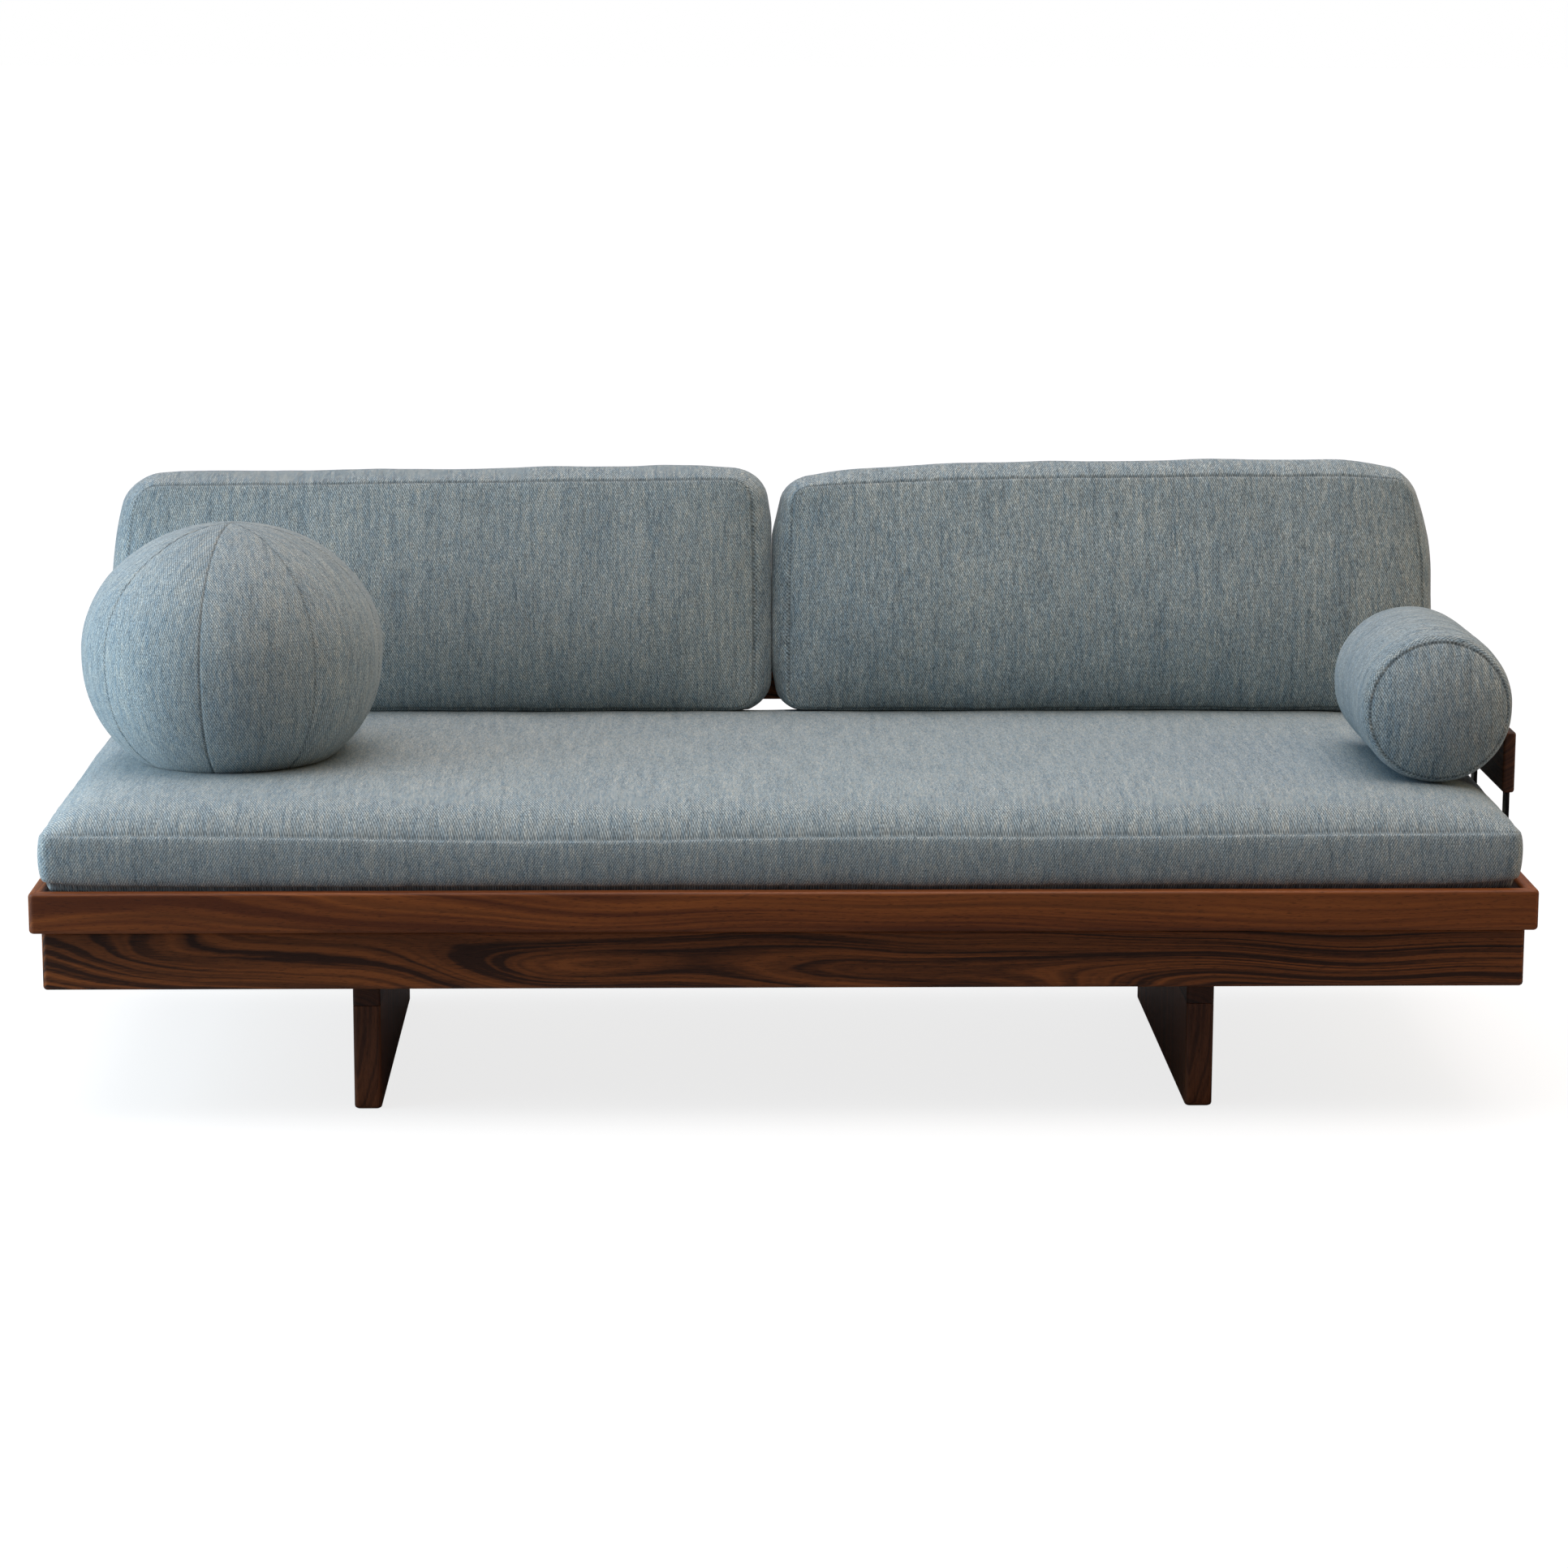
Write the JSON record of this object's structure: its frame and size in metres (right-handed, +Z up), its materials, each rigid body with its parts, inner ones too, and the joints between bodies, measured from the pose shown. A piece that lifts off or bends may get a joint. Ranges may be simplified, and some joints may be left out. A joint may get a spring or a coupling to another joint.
{
  "type": "daybed",
  "caption": "Daybed with a walnut tray frame on slab legs, a mattress, upright back cushions, a ball pillow, a bolster, and boards on flat steel bars.",
  "frame": {"origin": "on the floor, at the centre of the footprint", "axes": "+X along the bed towards the arm board, +Y towards the back board, +Z up; the open side faces -Y"},
  "size_m": [2.04, 0.84, 0.832],
  "materials": {
    "walnut": "oiled dark walnut, satin, grain along each board",
    "plywood": "plain birch, unfinished, out of sight",
    "black_steel": "black flat bar, satin",
    "zinc_steel": "zinc plated",
    "melange_fabric": "blue-grey melange twill with fine slubs, matt",
    "filling": "pale foam and wadding, matt",
    "zip_tape": "woven tape, matt"
  },
  "bodies": {
    "frame": {"apron_back": "walnut", "apron_front": "walnut", "apron_left": "walnut", "apron_right": "walnut", "arm_bar_front": "black_steel", "arm_bar_rear": "black_steel", "arm_board": "walnut", "back_bar_1": "black_steel", "back_bar_2": "black_steel", "back_bar_3": "black_steel", "back_bar_4": "black_steel", "back_board": "walnut", "centre_beam": "plywood", "corner_block_back_left": "plywood", "corner_block_back_right": "plywood", "corner_block_front_left": "plywood", "corner_block_front_right": "plywood", "cross_bearer_left": "plywood", "cross_bearer_right": "plywood", "ledger_back": "plywood", "ledger_front": "plywood", "leg_bolt_left_back": "zinc_steel", "leg_bolt_left_front": "zinc_steel", "leg_bolt_right_back": "zinc_steel", "leg_bolt_right_front": "zinc_steel", "leg_panel_left": "walnut", "leg_panel_right": "walnut", "leg_top_rail_left": "walnut", "leg_top_rail_right": "walnut", "slat_01": "plywood", "slat_02": "plywood", "slat_03": "plywood", "slat_04": "plywood", "slat_05": "plywood", "slat_06": "plywood", "slat_07": "plywood", "slat_08": "plywood", "slat_09": "plywood", "slat_10": "plywood", "slat_11": "plywood", "tray_rail_back": "walnut", "tray_rail_front": "walnut", "tray_rail_left": "walnut", "tray_rail_right": "walnut"},
    "mattress": {"mattress_cover": "melange_fabric", "mattress_filling": "filling", "mattress_zip": "zip_tape"},
    "left_back_cushion": {"left_back_cushion_cover": "melange_fabric", "left_back_cushion_filling": "filling", "left_back_cushion_zip": "zip_tape"},
    "right_back_cushion": {"right_back_cushion_cover": "melange_fabric", "right_back_cushion_filling": "filling", "right_back_cushion_zip": "zip_tape"},
    "ball_pillow": {"ball_pillow_cover": "melange_fabric", "ball_pillow_filling": "filling", "ball_pillow_zip": "zip_tape"},
    "bolster": {"bolster_cover": "melange_fabric", "bolster_filling": "filling", "bolster_zip": "zip_tape"}
  },
  "joints": [
    {"name": "mattress_lift", "type": "slide", "parent": "frame", "child": "mattress", "axis": [0, 0, 1], "range_m": [0, 0.3]},
    {"name": "left_cushion_lift", "type": "slide", "parent": "mattress", "child": "left_back_cushion", "axis": [0, 0, 1], "range_m": [0, 0.4]},
    {"name": "right_cushion_lift", "type": "slide", "parent": "mattress", "child": "right_back_cushion", "axis": [0, 0, 1], "range_m": [0, 0.4]},
    {"name": "ball_pillow_lift", "type": "slide", "parent": "mattress", "child": "ball_pillow", "axis": [0, 0, 1], "range_m": [0, 0.35]},
    {"name": "bolster_lift", "type": "slide", "parent": "mattress", "child": "bolster", "axis": [0, 0, 1], "range_m": [0, 0.35]}
  ]
}
